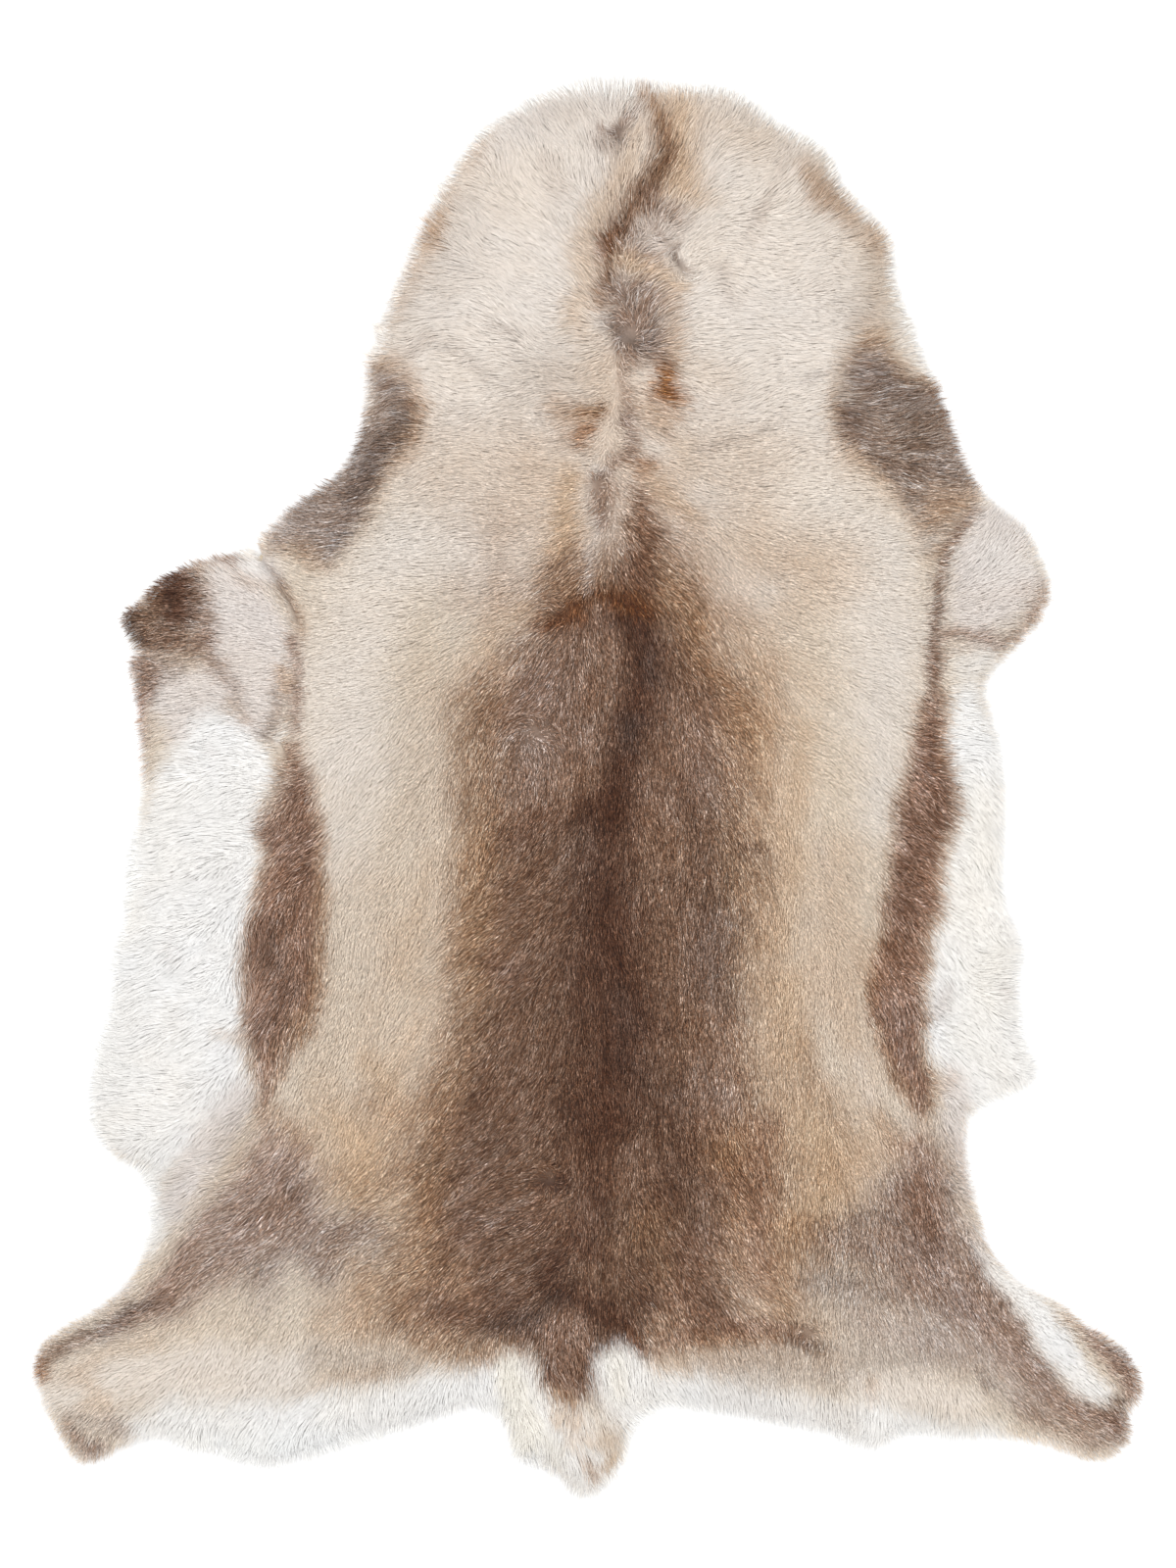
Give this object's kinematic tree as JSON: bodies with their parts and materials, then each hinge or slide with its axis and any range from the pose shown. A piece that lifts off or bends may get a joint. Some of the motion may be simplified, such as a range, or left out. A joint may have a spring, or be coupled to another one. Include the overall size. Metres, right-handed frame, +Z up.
{
  "type": "reindeer hide",
  "caption": "Whole tanned reindeer hide with its hair on, laid flat as a rug or throw, with neck, short leg ends and tail.",
  "frame": {"origin": "under the middle of the hide's box, on the surface that the leather underside lies on", "axes": "+Y towards the neck, -Y towards the tail, +Z up through the pile, +X to the right of someone looking down with the neck away from them"},
  "size_m": [1.024, 1.3, 0.0316],
  "materials": {
    "coat": "matte hair",
    "skin": "suede"
  },
  "bodies": {
    "root": {"hide": "coat"}
  },
  "joints": []
}
